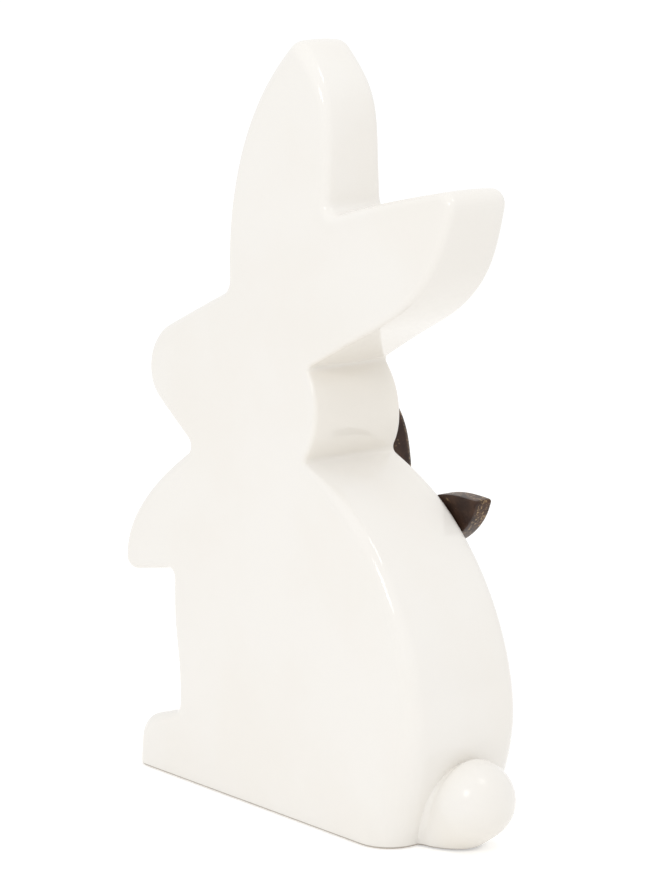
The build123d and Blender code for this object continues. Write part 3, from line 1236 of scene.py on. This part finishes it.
@dataclass
class BowPiece:
    """What the pieces of the bow share: a flat back on the glue, and a modelled front."""

    knot: Spot = (107.7, 137.0)
    depth: float = 12.0
    rim: float = 3.5
    rim_turns: int = 8
    rim_clearance: float = 0.96
    bond: float = 0.5
    back_rim: float = 0.5
    back_turns: int = 4
    wall_cells: int = 6
    step: float = 0.6
    cell: float = 1.1
    back_cell: float = 4.4
    back_rub: float = 0.45
    wall_rub: float = 0.74
    front_rub: float = 0.58
    edge_rub: float = 0.27
    ridge: float = 2.4
    fold_shade: float = 0.85

    def names(self) -> tuple[str, str]:
        """Gives the piece's name and that of its node."""
        raise NotImplementedError

    def outline(self) -> Points:
        """Draws the piece's closed outline."""
        raise NotImplementedError

    def crown(self, places: Points) -> np.ndarray:
        """Gives how high the front would stand over the back without its folds."""
        raise NotImplementedError

    def folds(self) -> list[Fold]:
        """Gives the folds that are pressed into the front."""
        raise NotImplementedError

    def pressed(self, places: Points) -> np.ndarray:
        """Gives how deep all the folds together are."""
        return sum((fold.press(places) for fold in self.folds()), np.zeros(len(places)))

    def height(self, places: Points) -> np.ndarray:
        """Gives how high the front stands over the back."""
        return np.minimum(self.crown(places) - self.pressed(places), self.depth)

    def front(self, drawn: Points, outline: Points) -> Points:
        """Models the front.

        Args:
            drawn: Points inside the outline.
            outline: The piece's outline.

        Returns:
            A row for each point: its x and z, its height, and how much of it a dry brush would catch.
        """
        height = self.height(drawn)
        edge = np.clip(1 - clearance(drawn, outline) / self.rim, 0.0, 1.0)
        raised = height - self.rim * (1 - np.sqrt(1 - edge**2))
        ridge = np.clip(1 - (self.depth - height) / self.ridge, 0.0, 1.0)
        rub = self.front_rub + self.edge_rub * np.maximum(ridge, edge * (2 - edge))
        rub = rub * (1 - self.fold_shade * np.clip(self.pressed(drawn), 0.0, 1.0))
        return np.column_stack([drawn, raised, rub])

    def relief(self, body: RabbitBody) -> tuple[Shape, np.ndarray]:
        """Builds the piece from its outline and height.

        Args:
            body: The body that it lies on.

        Returns:
            Its shape, and how much of each point a dry brush would catch.
        """
        outline = self.outline()
        count, ones = len(outline), np.ones(len(outline))
        ahead = np.roll(outline, -1, axis=0)
        area = float(np.sum(outline[:, 0] * ahead[:, 1] - outline[:, 1] * ahead[:, 0]))
        ways = side_of(outline, closed=True) * math.copysign(1.0, area)
        rows = []
        for angle in np.linspace(math.pi / 2, 0.0, self.back_turns):
            flat = outline + ways * self.back_rim * (1 - math.cos(angle))
            lift = self.back_rim * (1 - math.sin(angle))
            rows.append(np.column_stack([flat, lift * ones, self.back_rub * ones]))
        climb = self.height(outline) - self.rim - self.back_rim
        for share in np.linspace(0.0, 1.0, self.wall_cells + 1)[1:]:
            rows.append(np.column_stack([outline, self.back_rim + climb * share, self.wall_rub * ones]))
        shape = Shape(np.concatenate(rows), [])
        loops = np.arange(len(shape.places)).reshape(-1, count).tolist()
        for first, second in zip(loops, loops[1:]):
            shape.band(first, second)
        insets = self.rim * (1 - np.cos(np.linspace(0.0, math.pi / 2, self.rim_turns)[1:]))
        rings = [(outline + ways * inset, self.rim_clearance * inset) for inset in insets]
        within = np.concatenate([ring[clearance(ring, outline) > gap] for ring, gap in rings])
        drawn, triangles = filled(outline, self.cell, within=within)
        shape.patch(triangles, loops[-1] + shape.put(self.front(drawn[count:], outline)))
        drawn, triangles = filled(rows[0][:, :2], self.back_cell)
        flat = drawn[count:]
        back = np.column_stack([flat, np.zeros(len(flat)), np.full(len(flat), self.back_rub)])
        shape.patch(triangles, loops[0] + shape.put(back))
        x, z, height, rub = shape.places.T
        shape.places = np.stack([x, -(body.half(z) + self.bond + height), z], axis=1)
        return shape, rub

    def build(self, frame: Place, body: RabbitBody, bronze: bpy.types.Material) -> None:
        """Makes the piece and dresses it.

        Args:
            frame: Where the drawing lies.
            body: The body that carries it.
            bronze: Its finish.
        """
        name, node = self.names()
        shape, rub = self.relief(body)
        piece = mesh_object(name, frame.metres(shape.places), shape.faces)
        mark(piece, "rub", rub)
        hand_in(piece, node, "bow_finish", bronze)


@dataclass
class BowKnot(BowPiece):
    """The wrap at the middle of the bow."""

    width: float = 17.0
    length: float = 25.0
    depth: float = 15.0
    corner: float = 5.0
    waist: float = 0.055
    side_fall: float = 1.6
    end_fall: float = 0.9
    fold_rows: tuple = ((-4.2, 1.4, 0.9), (-0.6, -0.8, 1.1), (3.4, 1.0, 0.9))
    fold_ends: tuple[float, float] = (0.52, 0.04)
    fold_width: float = 0.9

    def names(self) -> tuple[str, str]:
        """Gives the piece's name and that of its node."""
        return "bow_wrap", "bow_knot"

    def outline(self) -> Points:
        """Draws a rounded oblong that is drawn in a little at its sides.

        Returns:
            The points round it.
        """
        x, z = self.width / 2 - self.corner, self.length / 2 - self.corner
        centre = np.array(self.knot)
        runs = []
        for k, way in enumerate(((x, z), (-x, z), (-x, -z), (x, -z))):
            corner, turn = centre + way, k * math.pi / 2
            start = corner + self.corner * np.array([math.cos(turn), math.sin(turn)])
            runs.append(arc_about(corner, start, math.pi / 2, self.step))
        points = evenly(np.concatenate(runs + [runs[0][:1]]), self.step)[:-1]
        up = np.clip((points[:, 1] - centre[1]) / self.length, -0.5, 0.5)
        points[:, 0] = centre[0] + (points[:, 0] - centre[0]) * (1 - self.waist * np.cos(up * math.pi))
        return points

    def crown(self, places: Points) -> np.ndarray:
        """Gives a crowned wrap."""
        u = (places - np.array(self.knot)) / (self.width / 2, self.length / 2)
        return self.depth - self.side_fall * u[:, 0] ** 2 - self.end_fall * u[:, 1] ** 2

    def folds(self) -> list[Fold]:
        """Gives a few folds along the wrap, from both its ends.

        Returns:
            The folds.
        """
        centre, (out, near) = np.array(self.knot), self.fold_ends
        return [
            Fold(centre + (x, way * self.length * out), centre + (x + lean, way * self.length * near),
                 self.fold_width, depth)
            for x, lean, depth in self.fold_rows for way in (1, -1)
        ]


@dataclass
class BowLoop(BowPiece):
    """One loop of the bow, pinched at the knot and full at its end."""

    side: Side = Side.REAR
    span: float = 36.8
    drop: float = 46.0
    wall_rub: float = 0.35
    shape_shares: Spots = (
        (0.09, 0.16), (0.44, 0.33), (0.70, 0.475), (0.855, 0.345), (0.96, 0.0),
        (0.92, -0.33), (0.75, -0.47), (0.46, -0.30), (0.09, -0.16),
    )
    pinch_share: float = 0.80
    swell_rate: float = 1.25
    fall: float = 3.2
    fold_start_shares: Spot = (0.10, 0.25)
    fold_rows: tuple = ((0.86, 0.27, 1.5, 2.2), (0.74, 0.03, 1.3, 1.8), (0.86, -0.26, 1.5, 2.1))

    def names(self) -> tuple[str, str]:
        """Gives the piece's name and that of its node."""
        side = self.side.name.lower()
        return f"bow_{side}_loop", f"bow_loop_{side}"

    def at(self, out: float, up: float) -> Points:
        """Gives a place by its shares of the loop's span and drop."""
        return np.array([self.knot[0] + self.side.value * out * self.span, self.knot[1] + up * self.drop])

    def outline(self) -> Points:
        """Draws the loop round its end and across its pinch.

        Returns:
            The points round it.
        """
        points = [self.at(*share) for share in self.shape_shares]
        pinch = line(points[-1], points[0], self.step)[1:]
        return evenly(np.concatenate([spline(points, self.step), pinch]), self.step)[:-1]

    def crown(self, places: Points) -> np.ndarray:
        """Gives a full loop, lower at its pinch.

        Args:
            places: Where to look.

        Returns:
            The height at each place.
        """
        out = np.clip(self.side.value * (places[:, 0] - self.knot[0]) / self.span, 0.0, 1.0)
        up = (places[:, 1] - self.knot[1]) / self.drop
        swell = np.sin(np.clip(out * self.swell_rate, 0.0, 1.0) * math.pi / 2)
        return self.depth * (self.pinch_share + (1.0 - self.pinch_share) * swell) - self.fall * up**2

    def folds(self) -> list[Fold]:
        """Gives the folds that fan out from the knot."""
        out, rise = self.fold_start_shares
        return [
            Fold(self.at(out, up * rise), self.at(reach, up), *size) for reach, up, *size in self.fold_rows
        ]


@dataclass
class BowRibbon(BowPiece):
    """One ribbon end, which dips under its loop and flicks up to a point."""

    side: Side = Side.REAR
    span: float = 82.4
    drop: float = 38.0
    depth: float = 9.5
    rim: float = 1.0
    wall_rub: float = 0.86
    edge_step: float = 0.55
    tip_step: float = 0.3
    tip_radius: float = 1.1
    front_swing: float = 38.0
    root_share: Spot = (0.060, -0.184)
    top_shares: Spots = ((0.243, -0.500), (0.437, -0.615), (0.663, -0.376), (0.839, -0.276))
    tip_share: Spot = (1.024, -0.286)
    end_shares: Spots = (
        (0.994, -0.432), (0.896, -0.674), (0.676, -0.908), (0.413, -0.934), (0.182, -0.671),
    )
    heel_share: Spot = (0.030, -0.237)
    roll: float = 0.9
    roll_turns: float = 2.6
    roll_start: float = 0.4
    roll_end: float = 1.15
    fold_rows: tuple = (
        ((0.10, -0.40), (0.46, -0.79), 1.3, 1.6),
        ((0.52, -0.72), (0.90, -0.47), 1.2, 1.1),
    )

    def names(self) -> tuple[str, str]:
        """Gives the piece's name and that of its node."""
        side = self.side.name.lower()
        return f"bow_{side}_ribbon", f"bow_ribbon_{side}"

    def at(self, out: float, up: float) -> Points:
        """Gives a place by its shares of the ribbon's span and drop.

        Args:
            out: Its share of the span, away from the knot.
            up: Its share of the drop, over the knot.

        Returns:
            The place.
        """
        arm = np.array([self.side.value * out * self.span, up * self.drop])
        if self.side is Side.FRONT:
            swing = -math.radians(self.front_swing)
            cos, sin = math.cos(swing), math.sin(swing)
            arm = np.array([arm[0] * cos - arm[1] * sin, arm[0] * sin + arm[1] * cos])
        return np.array(self.knot) + arm

    def outline(self) -> Points:
        """Draws the ribbon out along its top edge and back along its end.

        Returns:
            The points round it.
        """
        edges = (
            (self.root_share, *self.top_shares, self.tip_share),
            (self.tip_share, *self.end_shares, self.heel_share),
        )
        top, end = (spline([self.at(*share) for share in shares], self.step) for shares in edges)
        top, tip, end = round_joint(top, end, self.tip_radius, self.tip_step)
        heel = line(end[-1], top[0], self.step)[1:]
        return evenly(np.concatenate([top, tip, end, heel]), self.edge_step)[:-1]

    def crown(self, places: Points) -> np.ndarray:
        """Gives a ribbon that rolls gently along its length.

        Args:
            places: Where to look.

        Returns:
            The height at each place.
        """
        reach = np.linalg.norm(places - np.array(self.knot), axis=1) / self.span
        roll = self.roll * np.sin(reach * self.roll_turns * math.pi + self.roll_start)
        return self.depth - self.roll + roll * np.clip(self.roll_end - reach, 0.0, 1.0)

    def folds(self) -> list[Fold]:
        """Gives one fold from the knot and one toward the tip."""
        return [Fold(self.at(*start), self.at(*end), *size) for start, end, *size in self.fold_rows]


# Studio


@dataclass(frozen=True)
class SoftBox:
    """A soft box that hangs over the table and looks at the rabbit, placed in millimetres."""

    name: str
    place: tuple[float, float, float]
    side: float
    watts: float
    mirrored: bool = False

    def hang(self, frame: Place, target: Sequence[float]) -> None:
        """Hangs the lamp, turned to a target.

        Args:
            frame: Where the drawing lies.
            target: What the lamp looks at.
        """
        light = bpy.data.lights.new(self.name, "AREA")
        light.shape = "RECTANGLE"
        light.size = light.size_y = self.side * MM
        light.energy = self.watts
        lamp = shown(self.name, light)
        lamp.visible_glossy = self.mirrored
        aim(lamp, *frame.metres(np.array([self.place, target], float)))


@dataclass
class Studio:
    """The white table, the white surround, the lamps and the camera."""

    target: tuple[float, float, float] = (77.7, 0.0, 142.7)
    camera_height: float = 377.57
    camera_distance: float = 1213.4
    camera_bearing: float = 230.05
    focal_pixels: float = 3184.8
    image_height: float = 893.0
    film: float = 36.0
    clip: tuple[float, float] = (0.05, 50.0)
    surround: float = 0.825
    floor_glow: float = 0.41
    floor_light: float = 0.19
    floor_white: Colour = (0.80, 0.795, 0.785)
    floor_reach: float = 6.0
    floor_depth: float = 0.0001
    lamps: tuple[SoftBox, ...] = (
        SoftBox("overhead", (0.0, 100.0, 1700.0), 1700.0, 3.5),
        SoftBox("side", (0.0, 1700.0, 800.0), 1200.0, 0.7),
        SoftBox("side_glint", (-624.0, 1514.0, 1147.0), 500.0, 3.6, mirrored=True),
        SoftBox("rear_glint", (-857.0, -165.0, 1788.0), 420.0, 1.9, mirrored=True),
    )

    def build(self, frame: Place) -> None:
        """Makes everything round the rabbit.

        Args:
            frame: Where the drawing lies.
        """
        self.floor()
        self.world()
        for lamp in self.lamps:
            lamp.hang(frame, self.target)
        self.camera(frame)

    def seen(self, nodes: Nodes) -> bpy.types.NodeSocket:
        """Says whether a ray comes from the camera, a reflection or clear glass.

        Args:
            nodes: The tree that asks.

        Returns:
            1 for such a ray, 0 for any other.
        """
        path = nodes.add("ShaderNodeLightPath").outputs
        mirrored = nodes.sum("MAXIMUM", path["Is Camera Ray"], path["Is Glossy Ray"])
        return nodes.sum("MAXIMUM", mirrored, path["Is Transmission Ray"])

    def floor(self) -> None:
        """Makes a wide white table top, which keeps the rabbit's shadow."""
        ends = (-self.floor_reach, self.floor_reach)
        corners = np.array([[x, y, -self.floor_depth] for y in ends for x in ends])
        top = mesh_object("table_top", corners, [(0, 1, 3, 2)])
        if top.data.polygons[0].normal.z < 0:
            top.data.flip_normals()
        material = bpy.data.materials.new("white_table")
        material.use_nodes = True
        nodes = Nodes(material.node_tree)
        strength = nodes.spread(self.seen(nodes), 0.0, 1.0, self.floor_light, self.floor_glow)
        matt = nodes.add("ShaderNodeBsdfDiffuse", {"Color": (*self.floor_white, 1.0)})
        glow = nodes.add("ShaderNodeEmission", {"Color": WHITE, "Strength": strength})
        lit = nodes.add("ShaderNodeAddShader", {0: matt.outputs["BSDF"], 1: glow.outputs["Emission"]})
        nodes.add("ShaderNodeOutputMaterial", {"Surface": lit.outputs["Shader"]})
        top.data.materials.append(material)

    def world(self) -> None:
        """Makes the surround, plain white to the eye and a little lower as light."""
        world = bpy.data.worlds.new("white_surround")
        world.use_nodes = True
        nodes = Nodes(world.node_tree)
        light, white = (
            nodes.add("ShaderNodeBackground", {"Color": WHITE, "Strength": strength}).outputs["Background"]
            for strength in (self.surround, 1.0)
        )
        choice = nodes.add("ShaderNodeMixShader", {"Fac": self.seen(nodes), 1: light, 2: white})
        nodes.add("ShaderNodeOutputWorld", {"Surface": choice.outputs["Shader"]})
        bpy.context.scene.world = world

    def camera(self, frame: Place) -> None:
        """Stands the camera where the photograph was taken from.

        Args:
            frame: Where the drawing lies.
        """
        data = bpy.data.cameras.new("studio_camera")
        data.sensor_width = self.film
        data.lens = self.focal_pixels * self.film / self.image_height
        data.clip_start, data.clip_end = self.clip
        bearing = math.radians(self.camera_bearing)
        # A bearing of zero looks along +Y, with +X to the right
        away = np.array([math.sin(bearing), -math.cos(bearing), 0.0]) * self.camera_distance
        eye = np.array(self.target) + away
        eye[2] = self.camera_height
        camera = shown("studio_camera", data)
        aim(camera, *frame.metres(np.array([eye, self.target])))
        bpy.context.scene.camera = camera


def main() -> None:
    """Builds the rabbit, its bow and the studio."""
    logging.basicConfig(level=logging.INFO, format="%(name)s: %(message)s")
    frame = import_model()
    bpy.context.scene.view_settings.view_transform = "Standard"
    mottle = mottle_group()
    glaze, clay, bronze, glue = (kind().material(mottle) for kind in (Glaze, Biscuit, Bronze, Glue))
    body = RabbitBody()
    place = Place.of_frame(body.reach)
    body.build(place, glaze, clay)
    Tail().build(place, body, glaze)
    BowKnot().build(place, body, bronze)
    for side in Side:
        BowLoop(side=side).build(place, body, bronze)
        BowRibbon(side=side).build(place, body, bronze)
    for slot in frame["nodes"]["bow_bond"].material_slots:
        slot.material = glue
    LOG.info("bow_bond keeps its own shape with a new finish")
    Studio().build(place)


if __name__ == "__main__":
    main()
